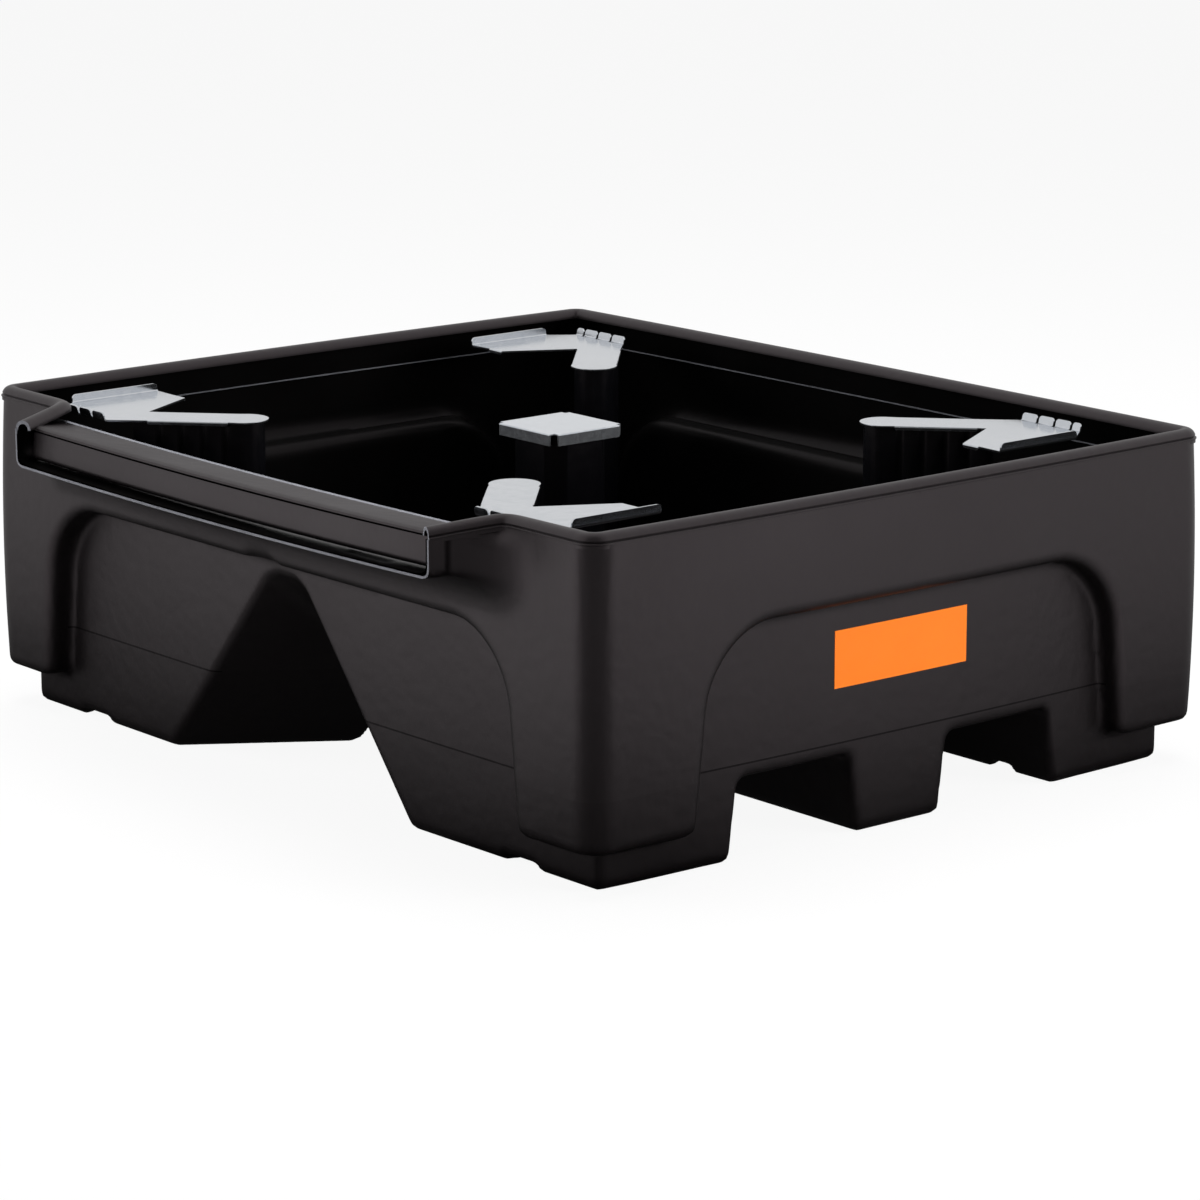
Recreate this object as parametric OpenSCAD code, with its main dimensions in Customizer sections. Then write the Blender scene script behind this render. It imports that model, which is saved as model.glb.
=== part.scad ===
// Spill containment pallet: a single-walled black tray on three hollow runners,
// with a pouring spout in its front rim, five upright posts in the sump and
// loose galvanised steel supports that carry a 1200 x 1000 mm load.
// Millimetres, +Z up, the spout faces -Y, origin on the ground at the middle of the runners.

/* [Tray] */
// Half of the width between the corners, along X
half_w = 725; // [600:1:800]
// Half of the depth between the corners, along Y
half_d = 590; // [500:1:680]
// Height of the rim over the ground
tray_h = 503; // [440:1:540]
// How far each X wall bows out at its middle
bow_x = 9; // [4:1:40]
// How far each Y wall bows out at its middle
bow_y = 7; // [4:1:30]
// Radius of the upright corners in plan
corner_r = 33; // [32:1:80]
// Thickness of the moulded wall
wall = 6; // [4:0.5:8]

/* [Rim] */
// Width of the rolled rim bead
bead_w = 28; // [22:1:31]
// Depth of the bead's inner leg below the rim
bead_leg = 15; // [14:1:24]

/* [Recesses and runners] */
// Half of the runners' length along X, at the corners
foot_half_w = 688; // [660:1:700]
// Half of the spread of the runners along Y
foot_half_d = 548; // [530:1:560]
// Radius of the runners' corners in plan
foot_corner_r = 16; // [10:1:40]
// Bow of the recess panel on the X sides
foot_bow_x = 12; // [2:1:16]
// Bow of the recess panel on the Y sides
foot_bow_y = 4; // [2:1:8]
// Height at which the corner columns end
column_z = 59; // [40:1:90]
// Height of the top of the recess arches
arch_top = 343; // [300:1:355]
// Half width of the recess in the Y sides, at the foot of its arch
arch_half_y_side = 560; // [520:1:580]
// Shift of the recess in the Y sides from the middle
arch_shift_y_side = -10; // [-15:1:15]
// Half width of the recess in the X sides, at the foot of its arch
arch_half_x_side = 395; // [370:1:430]
// Shift of the recess in the X sides from the middle
arch_shift_x_side = 8; // [-15:1:15]
// Widening of a recess below its arch, per millimetre of drop
arch_lean = 0.1; // [0:0.01:0.14]
// Radius of the arches' upper corners
arch_r = 112; // [60:1:120]

/* [Fork tunnels] */
// Half width of the middle runner at the ground
mid_runner_half = 81; // [60:1:90]
// Distance from the middle to the inner side of an outer runner, at the ground
outer_runner_y = 315; // [300:1:340]
// Height of a fork tunnel
tunnel_h = 117; // [100:1:130]
// How far a runner's side leans out over the tunnel's height
runner_lean = 15; // [6:1:20]
// Distance of the strap grooves from the middle, at the runners' outer sides
groove_x = 521; // [490:1:560]
// Width of a strap groove at the runner's outer side
groove_w = 72; // [50:1:80]
// Distance of the strap grooves from the middle, at the fork tunnels
groove_in_x = 590; // [560:1:620]
// Width of a strap groove at the fork tunnel
groove_in_w = 42; // [30:1:60]
// Depth of a strap groove
groove_d = 14; // [8:1:18]

/* [Front notch] */
// Half width of the notch at the ground, on the front panel
notch_half = 296; // [270:1:320]
// Half width of the notch's roof
notch_roof_half = 38; // [25:1:50]
// Height of the notch's roof on the front panel
notch_top = 317; // [280:1:325]
// Narrowing of each side per millimetre of depth
notch_slope_y = 0.68; // [0.6:0.01:0.75]

/* [Spout] */
// Distance of the rim's outward bends from the middle
spout_bend_x = 550; // [525:1:560]
// Half of the spout's width at its cut front edge
spout_half = 507; // [470:1:515]
// Distance of the cut front edge from the middle
spout_front = 690; // [670:1:700]
// Height of the spout's bottom edge
spout_bottom_z = 421; // [405:1:430]
// Drop of the rim from the bend to the cut edge
spout_drop = 12; // [6:1:16]

/* [Supports] */
// Place of the four corner supports' centre along Y
load_y = -33; // [-45:1:-20]
// Place of the centre post and its cap along Y
centre_y = -47; // [-60:1:0]
// Height of the supports' upper face
plate_z = 482; // [440:1:488]
// Thickness of the steel sheet
sheet = 3; // [2:0.5:4]
// Distance of the side flanges from the middle
flange_x = 603; // [590:1:622]
// Height of the flanges and tabs over the plate
flange_h = 12; // [8:1:14]
// Distance of the end tabs from the supports' centre
tab_y = 527; // [505:1:530]
// Width of a tab
tab_w = 30; // [26:1:33]
// Width of the slot between two tabs
tab_slot = 5; // [3:1:6]
// Width of a support's arm
arm_w = 74; // [64:1:76]
// Turn of a support's arm from the X axis
arm_turn = 43; // [40:1:52]
// Side of the square centre cap
cap_side = 139; // [134:1:150]
// Height of the centre cap's folded skirt
cap_skirt = 18; // [14:1:22]
// Side of the square centre post
post_side = 118; // [100:1:122]

/* [Label] */
// Length of the plain label
label_w = 256; // [200:1:280]
// Height of the plain label
label_h = 85; // [70:1:95]
// Height of the label's middle over the ground
label_z = 258; // [230:1:270]

/* [Hidden] */
$fn = 48;

// Steps along half a side, round a corner of the bowed outlines and round an arch's corner
side_steps = 4;
corner_steps = 4;
arch_steps = 8;

// Colours of the moulded tray, the sheet steel and the label
tray_grey = "#2b2829";
post_black = "#161616";
zinc = "#c9ccd0";
label_orange = "#f57e2a";

// Overlap that fuses neighbouring pieces of one solid, and the run of a cut past the faces it cuts
fuse = 1;
over = 60;

// Inner end of a support's arm, measured from the supports' centre
arm_tip = [298, 334];
arm_dir = [cos(arm_turn), sin(arm_turn)];
arm_normal = [arm_dir[1], -arm_dir[0]];

// Support plates: the side plate's slanted end, the clipped corner, the tabs and the folded lips
side_end_y = 328;
side_inner_x = 526;
side_lip_len = 32;
flange_end_y = 486;
flange_clip = 10;
junction_run = 193;
tab_run = (tab_y - arm_tip[1] + arm_normal[1] * arm_w / 2) / arm_dir[1];
tab_start_x = arm_edge(tab_run, -1)[0];
tab_count = 3;
half_tab_w = 16;
tab_pitch = tab_w + tab_slot;
tab_end_x = tab_start_x + tab_count * tab_pitch + half_tab_w;
tab_lean = 12;
tab_r = 6;
slot_depth = 4;
lip_h = 6;
lip_start = 55;
lip_len = 124;
lip_inset = 0.5;

// Posts: clearance under the plates, wall, and the flutes along their sides
rest_gap = 0.3;
post_wall = 5;
lip_clear = 2;
post_half = arm_w / 2 - sheet - lip_clear;
post_inset = 6;
post_end = 202;
post_chamfer = 24;
post_top = plate_z - sheet - rest_gap;
flute_r = 9;
flute_bite = 2.5;
flute_pitch = 34;
flute_count = 4;
flute_start = post_inset + post_half - flute_r;

// Corner notch of the centre cap
cap_notch = 10;

// Slope of the notch's sides over the height, and the sideways growth that moves them out by one
notch_slope_z = (notch_half - notch_roof_half) / notch_top;
notch_growth = norm([1, notch_slope_y, notch_slope_z]);
notch_depth = 330;

label_t = 0.6;

// Point on an edge of a support's arm, at a run from its inner end, on side 1 or -1
function arm_edge(run, side) = arm_tip + arm_dir * run + arm_normal * side * arm_w / 2;

// Offset of a bowed side from its corner line, at distance u from its middle
function bow_at(u, half, bow) = bow * (1 - pow(u / half, 2));

// One quarter of a bowed rectangle with rounded corners, from the X axis to the Y axis
function quarter(hw, hd, bx, by, r) =
    let (ox = bow_at(hd - r, hd, bx), oy = bow_at(hw - r, hw, by))
    concat(
        [for (i = [0:side_steps]) let (y = i * (hd - r) / side_steps) [hw + bow_at(y, hd, bx), y]],
        [for (k = [1:corner_steps - 1]) let (a = 90 * k / corner_steps)
            [hw - r + (r + ox) * cos(a), hd - r + (r + oy) * sin(a)]],
        [for (i = [side_steps:-1:0]) let (x = i * (hw - r) / side_steps) [x, hd + bow_at(x, hw, by)]]
    );

function flip(points, sx, sy) = [for (p = points) [sx * p[0], sy * p[1]]];
function backwards(points) = [for (i = [len(points) - 2:-1:1]) points[i]];

// The whole outline, with the points on the axes used once
function outline(hw, hd, bx, by, r) =
    let (q = quarter(hw, hd, bx, by, r))
    concat(q, flip(backwards(q), -1, 1), flip(q, -1, -1), flip(backwards(q), 1, -1));

module wall_outline(inset) {
    polygon(outline(half_w - inset, half_d - inset, bow_x, bow_y, corner_r - inset));
}

module foot_outline(inset) {
    polygon(outline(foot_half_w - inset, foot_half_d - inset, foot_bow_x, foot_bow_y, foot_corner_r - inset));
}

// Turn a profile drawn in (Y, Z) so that it runs along X from x0 to x1
module along_x(x0, x1) {
    translate([x0, 0, 0]) rotate([90, 0, 90]) linear_extrude(x1 - x0) children();
}

// Turn a profile drawn in (X, Z) so that it runs along Y from y0 to y1
module along_y(y0, y1) {
    translate([0, y1, 0]) rotate([90, 0, 0]) linear_extrude(y1 - y0) children();
}

// Window of a side recess: sides that lean out to the ground and round upper corners, open below
module arch_window(half, grow) {
    r = arch_r + grow;
    w = half + grow;
    top = arch_top + grow;
    foot = w + arch_lean * (top - r + over);
    arc = [for (k = [0:arch_steps]) let (a = 90 * k / arch_steps) [w - r + r * cos(a), top - r + r * sin(a)]];
    polygon(concat(
        [[-foot, -over], [foot, -over]], arc, [for (k = [arch_steps:-1:0]) [-arc[k][0], arc[k][1]]]
    ));
}

// Fork tunnel between the middle runner and an outer one, with eased upper corners
module tunnel_profile(grow) {
    y0 = mid_runner_half - grow;
    y1 = outer_runner_y + grow;
    top = tunnel_h + grow;
    ease = 16;
    polygon([
        [y0 - runner_lean * over / top, -over], [y1 + runner_lean * over / top, -over],
        [y1 - runner_lean, top - ease], [y1 - runner_lean - ease, top],
        [y0 + runner_lean + ease, top], [y0 + runner_lean, top - ease]
    ]);
}

module tunnels(grow) {
    for (s = [0, 1]) mirror([0, s, 0]) along_x(-half_w - over, half_w + over) tunnel_profile(grow);
}

// Notch in the front: two leaning sides that close in over the height and the depth
function notch_ring(y, grow) =
    let (
        depth = y + foot_half_d,
        roof = notch_roof_half + grow,
        half = notch_half + grow * notch_growth - notch_slope_y * depth,
        top = (half - roof) / notch_slope_z,
        foot = half + notch_slope_z * over
    )
    [[-foot, y, -over], [foot, y, -over], [roof, y, top], [-roof, y, top]];

module notch(grow) {
    y0 = -foot_half_d - foot_bow_y - fuse;
    y1 = -foot_half_d + notch_depth;
    polyhedron(
        concat(notch_ring(y0, grow), notch_ring(y1, grow)),
        [[3, 2, 1, 0], [4, 5, 6, 7], [1, 5, 4, 0], [2, 6, 5, 1], [3, 7, 6, 2], [0, 4, 7, 3]]
    );
}

// Strap grooves across the undersides of the outer runners
module grooves(grow) {
    half_in = groove_in_w / 2 + grow;
    half_out = groove_w / 2 + grow;
    for (mx = [0, 1], my = [0, 1]) mirror([mx, 0, 0]) mirror([0, my, 0])
        translate([0, 0, -over]) linear_extrude(groove_d + grow + over) polygon([
            [groove_in_x - half_in, outer_runner_y - over], [groove_in_x + half_in, outer_runner_y - over],
            [groove_x + half_out, foot_half_d], [groove_x + half_out, half_d + over],
            [groove_x - half_out, half_d + over], [groove_x - half_out, foot_half_d]
        ]);
}

// The tray's outer form for inset 0, and its hollow for an inset of one wall
module form(inset, top) {
    difference() {
        union() {
            difference() {
                translate([0, 0, column_z + inset])
                    linear_extrude(top - column_z - inset) wall_outline(inset);
                along_x(-half_w - over, half_w + over)
                    translate([arch_shift_x_side, 0]) arch_window(arch_half_x_side, inset);
                along_y(-half_d - over, half_d + over)
                    translate([arch_shift_y_side, 0]) arch_window(arch_half_y_side, inset);
            }
            translate([0, 0, inset]) linear_extrude(arch_top + over - inset) foot_outline(inset);
        }
        tunnels(inset);
        notch(inset);
        grooves(inset);
    }
}

// A strip of sheet along a path in the plane, thickened to its left
function along(a, b) = (b - a) / norm(b - a);
function left_of(d) = [-d[1], d[0]];
function miter(points, i) =
    let (
        n = len(points) - 1,
        d0 = along(points[max(i - 1, 0)], points[max(i, 1)]),
        d1 = along(points[min(i, n - 1)], points[min(i + 1, n)]),
        m = left_of(d0 + d1)
    )
    m / (m * left_of(d0));
module strip(points, t) {
    side = [for (i = [0:len(points) - 1]) points[i] + t * miter(points, i)];
    polygon(concat(points, [for (i = [len(side) - 1:-1:0]) side[i]]));
}

// Spout belly: how far out its foot, lower and upper bends stand, and their heights from the arch
// and the bottom edge, with the flat lip under the cut edge
belly_foot = [9, 2];
belly_low = [16, 32];
belly_high = [48, 16];
lip_run = 28;

// Spout band and sill: how far back from the cut edge they run at the root, the lower bend, the crease
// and the sill's front, and the sill's inner edge, with their distances from the bottom edge and the rim
band_root = 36;
band_low = [19, 16];
band_crease = [23, 40];
sill_front = [32, 34];
sill_back = [-3, 27];

// Spout profiles in (Y, Z): the belly out to the cut bottom edge, and the band and sill behind it
belly_path = [
    [-half_d - belly_foot[0], arch_top + belly_foot[1]],
    [-half_d - belly_low[0], arch_top + belly_low[1]],
    [-half_d - belly_high[0], spout_bottom_z - belly_high[1]],
    [-spout_front + lip_run, spout_bottom_z],
    [-spout_front, spout_bottom_z]
];
band_path = [
    [-spout_front + band_root, spout_bottom_z + wall / 2],
    [-spout_front + band_low[0], spout_bottom_z + band_low[1]],
    [-spout_front + band_crease[0], tray_h - band_crease[1]],
    [-spout_front + sill_front[0], tray_h - sill_front[1]],
    [-half_d - sill_back[0], tray_h - sill_back[1]]
];

// The rim's outward run on each side of the spout
jog_run = spout_front - half_d;
jog_turn = atan2(spout_bend_x - spout_half, jog_run);
jog_len = norm([jog_run, spout_bend_x - spout_half]);
jog_back = 10;

// Plan of the spout, its sides inside the cheeks
module spout_plan() {
    back = -half_d + wall;
    cut = spout_half - fuse;
    bend = spout_bend_x - fuse;
    polygon([
        [-cut, -spout_front], [cut, -spout_front], [bend, -half_d], [bend, back], [-bend, back], [-bend, -half_d]
    ]);
}

module spout_sheet(path) {
    intersection() {
        along_x(-spout_bend_x, spout_bend_x) strip(path, -wall);
        linear_extrude(tray_h) spout_plan();
    }
}

// Cheek under the rim's outward run, in (distance from the bend, Z), from the belly up to the rim
module cheek() {
    out = [for (p = belly_path) [max(0, (-p[0] - half_d) * jog_len / jog_run), p[1]]];
    foot = [0, arch_top + belly_foot[1]];
    polygon(concat([foot], out, [[jog_len, tray_h - spout_drop], [0, tray_h]]));
}

// A sloping layer under the rim's outward run, of the given height
module jog_layer(h) {
    polygon([
        [-jog_back, tray_h - h], [0, tray_h - h], [jog_len, tray_h - spout_drop - h],
        [jog_len, tray_h - spout_drop], [0, tray_h], [-jog_back, tray_h]
    ]);
}

// Cheek and rolled bead of one side, with the outer face along the line from bend to cut edge
module spout_side() {
    translate([spout_bend_x, -half_d, 0]) rotate([0, 0, -90 - jog_turn]) rotate([90, 0, 0]) {
        linear_extrude(wall) cheek();
        linear_extrude(bead_w) jog_layer(wall);
        translate([0, 0, bead_w - wall]) linear_extrude(wall) jog_layer(bead_leg);
    }
}

// Gap in the front wall and its bead, where the spout takes their place
module spout_gap(z0, half) {
    depth = 2 * bead_w;
    translate([-half, -half_d - over, z0]) cube([2 * half, over + depth, tray_h]);
}

// Rolled rim: a flat top and an inner leg
module rim_bead() {
    difference() {
        union() {
            translate([0, 0, tray_h - wall]) linear_extrude(wall) wall_outline(0);
            translate([0, 0, tray_h - bead_leg]) linear_extrude(bead_leg) wall_outline(bead_w - wall);
        }
        translate([0, 0, tray_h - bead_leg - fuse])
            linear_extrude(bead_leg + 2 * fuse) wall_outline(bead_w);
        spout_gap(0, spout_bend_x - bead_w / 2);
    }
}

module tray() {
    color(tray_grey) {
        difference() {
            form(0, tray_h);
            form(wall, tray_h + over);
            spout_gap(arch_top + wall, spout_bend_x - wall);
        }
        rim_bead();
        spout_sheet(belly_path);
        spout_sheet(band_path);
        for (m = [0, 1]) mirror([m, 0, 0]) spout_side();
    }
}

// Move from an arm's own axes, with x along the arm from its inner end, to the quarter's place
module on_arm() {
    translate([arm_tip[0], arm_tip[1], 0]) rotate([0, 0, arm_turn]) children();
}

// How far a post and its support stand from their even place, since they are set by hand
function stray(right, rear) = right ? (rear ? [-22, 12, 0] : [-15, 8, 0]) : (rear ? [-25, -14, 0] : [-12, 3, 0]);

// Mirror a piece drawn in the rear right quarter to one corner
module at_corner(right, rear) {
    translate([0, load_y, 0] + stray(right, rear)) mirror([right ? 0 : 1, 0, 0]) mirror([0, rear ? 0 : 1, 0]) children();
}

// A bar with a round inner end, along an arm
module arm_bar(start, end, half) {
    translate([start + half, 0]) circle(half);
    translate([start + half, -half]) square([end - start - half, 2 * half]);
}

// Outline of a corner post under its arm, with upright flutes on both long sides
module corner_post_outline() {
    difference() {
        arm_bar(post_inset, post_end, post_half);
        for (i = [1:flute_count], s = [-1, 1])
            translate([flute_start + i * flute_pitch, s * (post_half + flute_r - flute_bite)])
                circle(flute_r);
    }
}

module corner_post(right, rear) {
    color(post_black) difference() {
        at_corner(right, rear) on_arm() difference() {
            translate([0, 0, wall]) linear_extrude(post_top - wall) corner_post_outline();
            translate([0, 0, -fuse]) linear_extrude(post_top - post_wall)
                arm_bar(post_inset + post_wall, post_end - post_wall, post_half - post_wall);
        }
        tunnels(wall);
        notch(wall);
        grooves(wall);
    }
}

// Square with clipped corners
module clipped_square(half, clip) {
    polygon([
        [half, -half + clip], [half, half - clip], [half - clip, half], [-half + clip, half],
        [-half, half - clip], [-half, -half + clip], [-half + clip, -half], [half - clip, -half]
    ]);
}

module post_centre() {
    half = post_side / 2;
    color(post_black) difference() {
        translate([0, centre_y, 0]) difference() {
            translate([0, 0, wall]) linear_extrude(post_top - wall) clipped_square(half, post_chamfer);
            translate([0, 0, -fuse]) linear_extrude(post_top - post_wall)
                clipped_square(half - post_wall, post_chamfer);
        }
        tunnels(wall);
    }
}

// Flat blank of a corner support, with the slots between its tabs
module support_blank() {
    inner = 1 - 2 * fuse / arm_w;
    difference() {
        union() {
            polygon([
                [tab_start_x, tab_y], [tab_end_x, tab_y], [flange_x, flange_end_y],
                [flange_x, side_end_y], [side_inner_x, side_end_y], arm_edge(junction_run, 1),
                arm_edge(lip_len, inner), arm_edge(lip_len, -inner)
            ]);
            translate(arm_tip) rotate(arm_turn) arm_bar(0, junction_run, arm_w / 2);
        }
        for (i = [1:tab_count])
            translate([tab_start_x + i * tab_pitch - tab_slot, tab_y - slot_depth])
                square([tab_slot, 2 * slot_depth]);
    }
}

// A tab with rounded upper corners, in (X, Z)
module tab(w) {
    top = flange_h + sheet;
    square([w, top - tab_r]);
    translate([tab_r, 0]) square([w - 2 * tab_r, top]);
    for (x = [tab_r, w - tab_r]) translate([x, top - tab_r]) circle(tab_r);
}

module tabs() {
    for (i = [0:tab_count])
        translate([tab_start_x + i * tab_pitch, tab_y - fuse, plate_z - sheet]) rotate([90 - tab_lean, 0, 0])
            mirror([0, 0, 1]) linear_extrude(sheet) tab(i < tab_count ? tab_w : half_tab_w);
}

// Upturned flange on the X side, its inner end clipped
module side_flange() {
    top = flange_h + sheet;
    translate([0, 0, plate_z - sheet]) along_x(flange_x - fuse, flange_x + sheet - fuse) polygon([
        [side_end_y, 0], [flange_end_y, 0], [flange_end_y, top],
        [side_end_y + flange_clip, top], [side_end_y, sheet]
    ]);
}

// Downturned lips on both edges of the arm and on the side plate's end
module lips() {
    for (s = [lip_inset - arm_w / 2, arm_w / 2 - sheet - lip_inset]) on_arm()
        translate([lip_start, s, plate_z - sheet - lip_h]) cube([lip_len, sheet, lip_h + fuse]);
    translate([side_inner_x, side_end_y, plate_z - sheet - lip_h])
        cube([side_lip_len, sheet, lip_h + fuse]);
}

module corner_support(right, rear) {
    color(zinc) at_corner(right, rear) {
        translate([0, 0, plate_z - sheet]) linear_extrude(sheet) support_blank();
        tabs();
        side_flange();
        lips();
    }
}

// Folded cap: a plate with notched corners and a skirt on each side
module centre_cap() {
    half = cap_side / 2;
    run = cap_side - 2 * cap_notch;
    color(zinc) translate([0, centre_y, plate_z]) {
        translate([0, 0, -sheet]) linear_extrude(sheet) {
            square([cap_side, run], center = true);
            square([run, cap_side], center = true);
        }
        for (a = [0:90:270]) rotate([0, 0, a])
            translate([half - sheet, -run / 2, -cap_skirt]) cube([sheet, run, cap_skirt]);
    }
}

// Plain label on the recess panel of the right side
module side_label() {
    color(label_orange) intersection() {
        translate([0, -label_w / 2, label_z - label_h / 2]) cube([half_w + over, label_w, label_h]);
        linear_extrude(arch_top) difference() {
            foot_outline(-label_t);
            foot_outline(0);
        }
    }
}

tray();
corner_post(false, false);  // post_front_left
corner_post(true, false);  // post_front_right
corner_post(false, true);  // post_rear_left
corner_post(true, true);  // post_rear_right
post_centre();
corner_support(false, false);  // support_front_left
corner_support(true, false);  // support_front_right
corner_support(false, true);  // support_rear_left
corner_support(true, true);  // support_rear_right
centre_cap();
side_label();
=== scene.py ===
# %% [markdown]
# # A spill containment pallet
# The pallet is a black moulded tray on three hollow runners. Five posts stand in its sump and
# carry loose galvanised supports and a cap, and a spout in the front rim lets liquid out.
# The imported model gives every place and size. This script gives each piece its finished look.

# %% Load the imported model
import math

import bmesh
import bpy
from mathutils import Matrix, Vector
from mathutils.geometry import interpolate_bezier


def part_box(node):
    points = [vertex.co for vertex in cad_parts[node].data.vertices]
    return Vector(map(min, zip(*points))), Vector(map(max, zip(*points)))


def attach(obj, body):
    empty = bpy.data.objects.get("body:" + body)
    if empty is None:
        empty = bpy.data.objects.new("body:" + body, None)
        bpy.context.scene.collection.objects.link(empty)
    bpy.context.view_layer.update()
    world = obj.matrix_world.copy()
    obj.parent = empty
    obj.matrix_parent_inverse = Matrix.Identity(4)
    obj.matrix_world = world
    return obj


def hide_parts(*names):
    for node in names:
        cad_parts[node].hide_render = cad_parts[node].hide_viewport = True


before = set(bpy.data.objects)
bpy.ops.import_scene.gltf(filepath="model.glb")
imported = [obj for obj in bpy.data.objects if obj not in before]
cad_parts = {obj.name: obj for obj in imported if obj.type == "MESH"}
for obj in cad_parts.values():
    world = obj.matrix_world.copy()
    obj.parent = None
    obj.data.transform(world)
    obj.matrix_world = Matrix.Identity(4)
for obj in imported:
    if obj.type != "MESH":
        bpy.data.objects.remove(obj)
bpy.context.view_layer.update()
scene = bpy.context.scene
scene.view_settings.view_transform = "Standard"
tray_low, tray_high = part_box("tray")
print("The tray reaches from", tray_low, "to", tray_high)

# %% [markdown]
# ## The camera
# The picture was taken with a long lens from the front right, a little above the rim. The camera
# could be placed by eye, but a fit to the rim and the feet gives its place, direction and lens
# closely, so every piece can be compared with the picture where it stands.

# %% Place the camera
camera_place = Vector((5.0671, -4.2083, 1.7309))
camera_direction = Vector((-0.747019, 0.625130, -0.226220))
camera_lens = 132.65
film_width = 36.0
farthest_view = 100.0
camera_data = bpy.data.cameras.new("camera")
camera_data.sensor_width = film_width
camera_data.lens = camera_lens
camera_data.clip_end = farthest_view
camera = bpy.data.objects.new("camera", camera_data)
camera.location = camera_place
camera.rotation_euler = camera_direction.to_track_quat("-Z", "Y").to_euler()
scene.collection.objects.link(camera)
scene.camera = camera
print("Camera lens", camera_data.lens, "mm")

# %% [markdown]
# ## The studio
# The tray is photographed in front of plain white, so the world is white for the camera and a little
# darker in reflections. A black drape on the camera's side would be the photographer's way to keep
# black plastic black: without it every rounded edge would mirror white. Here there is no drape: its
# dark side is painted into the world and the floor as a painted reflection, seen only in reflections.

# %% Helpers for node trees
def wire(sockets, values):
    """Give each socket its value: a socket is linked, a number or a colour is written."""
    for socket, value in zip(sockets, values):
        if isinstance(value, bpy.types.NodeSocket):
            socket.id_data.links.new(value, socket)
        else:
            socket.default_value = value


def set_inputs(node, **inputs):
    """Set the inputs of a node by name, with underscores for spaces."""
    wire([node.inputs[name.replace("_", " ")] for name in inputs], inputs.values())
    return node


def add_node(tree, kind, **inputs):
    return set_inputs(tree.nodes.new(kind), **inputs)


def calculate(operation, *values, kind="ShaderNodeMath"):
    """Add a math node to the tree of the first socket among the values, and return its result."""
    tree = next(v.id_data for v in values if isinstance(v, bpy.types.NodeSocket))
    node = tree.nodes.new(kind)
    node.operation = operation
    wire(node.inputs, values)
    return node.outputs["Value" if operation == "DOT_PRODUCT" else 0]


def calculate_vector(operation, *values):
    """The same with vectors. A dot product gives a number."""
    return calculate(operation, *values, kind="ShaderNodeVectorMath")


def mix_shaders(share, first, second):
    """Add a mix of two shaders and return it."""
    mix = share.id_data.nodes.new("ShaderNodeMixShader")
    wire(mix.inputs, (share, first, second))
    return mix.outputs[0]


def mix_tones(share, dark, light):
    """Add a mix of two colours and return it."""
    mix = share.id_data.nodes.new("ShaderNodeMix")
    mix.data_type = "RGBA"
    wire([mix.inputs[name] for name in ("Factor", "A", "B")], (share, (*dark, 1.0), (*light, 1.0)))
    return mix.outputs["Result"]


def new_material(name):
    """Make a material and return it with its node tree and its paint."""
    material = bpy.data.materials.new(name)
    material.use_nodes = True
    return material, material.node_tree, material.node_tree.nodes["Principled BSDF"]


def rise(value, low, high):
    """Zero up to a low value, one from a high value on, and a soft rise between."""
    ramp = add_node(value.id_data, "ShaderNodeMapRange", Value=value, From_Min=low, From_Max=high)
    ramp.interpolation_type = "SMOOTHSTEP"
    return ramp.outputs["Result"]


def ray_kinds(tree):
    """One for a ray that comes from the camera, and one for a ray that is mirrored or let through."""
    ray = tree.nodes.new("ShaderNodeLightPath").outputs
    mirrored = calculate("MAXIMUM", ray["Is Glossy Ray"], ray["Is Transmission Ray"])
    return ray["Is Camera Ray"], mirrored


# Mask of the painted dark side that reflections see in the world and the floor.
def dark_side(place, middle, low, high):
    """Rises from zero to one for directions from the middle that turn toward the camera's side."""
    to_camera = Vector((-camera_direction.x, -camera_direction.y, 0.0)).normalized()
    level = (1.0, 1.0, 0.0)
    offset = calculate_vector("MULTIPLY_ADD", place, level, (-middle.x, -middle.y, 0.0))
    direction = calculate_vector("NORMALIZE", offset)
    return rise(calculate_vector("DOT_PRODUCT", direction, to_camera), low, high)


# %% White world
sky_strength = 0.16
sky_mirror = 0.75
painted_dark_share = 0.74
painted_dark_ends = (0.40, 0.75)
world = bpy.data.worlds.new("studio")
scene.world = world
world.use_nodes = True
sky = world.node_tree
from_camera, mirrored = ray_kinds(sky)
sky_place = sky.nodes.new("ShaderNodeTexCoord").outputs["Generated"]
# Painted reflection: for mirrored rays the world is darker toward the camera's side.
sky_side = dark_side(sky_place, Vector((0.0, 0.0)), *painted_dark_ends)
sky_open = calculate("MULTIPLY_ADD", sky_side, -painted_dark_share * sky_mirror, sky_mirror)
sky_seen = calculate("MAXIMUM", from_camera, calculate("MULTIPLY", mirrored, sky_open))
unseen = calculate("SUBTRACT", 1.0, calculate("MAXIMUM", from_camera, mirrored))
sky_total = calculate("MULTIPLY_ADD", unseen, sky_strength, sky_seen)
set_inputs(sky.nodes["Background"], Color=(1.0, 1.0, 1.0, 1.0), Strength=sky_total)
print("The world lights the tray at", sky_strength)

# %% [markdown]
# ## The lamps
# A studio's soft boxes throw no hard shadow. Large area lamps do the same: one hangs overhead and two
# stand beside the tray. Black plastic would mirror them as bright squares, so reflections leave them out.

# %% Soft lamps
tray_middle = Vector((0.0, 0.0, 0.25))


def soft_lamp(name, place, size, watts):
    data = bpy.data.lights.new(name, "AREA")
    data.shape = "RECTANGLE"
    data.size, data.size_y = size
    data.energy = watts
    lamp = bpy.data.objects.new(name, data)
    lamp.location = place
    lamp.rotation_euler = (tray_middle - Vector(place)).to_track_quat("-Z", "Y").to_euler()
    lamp.visible_camera = False
    lamp.visible_glossy = False
    scene.collection.objects.link(lamp)
    print("Lamp", name, watts, "W")


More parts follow.
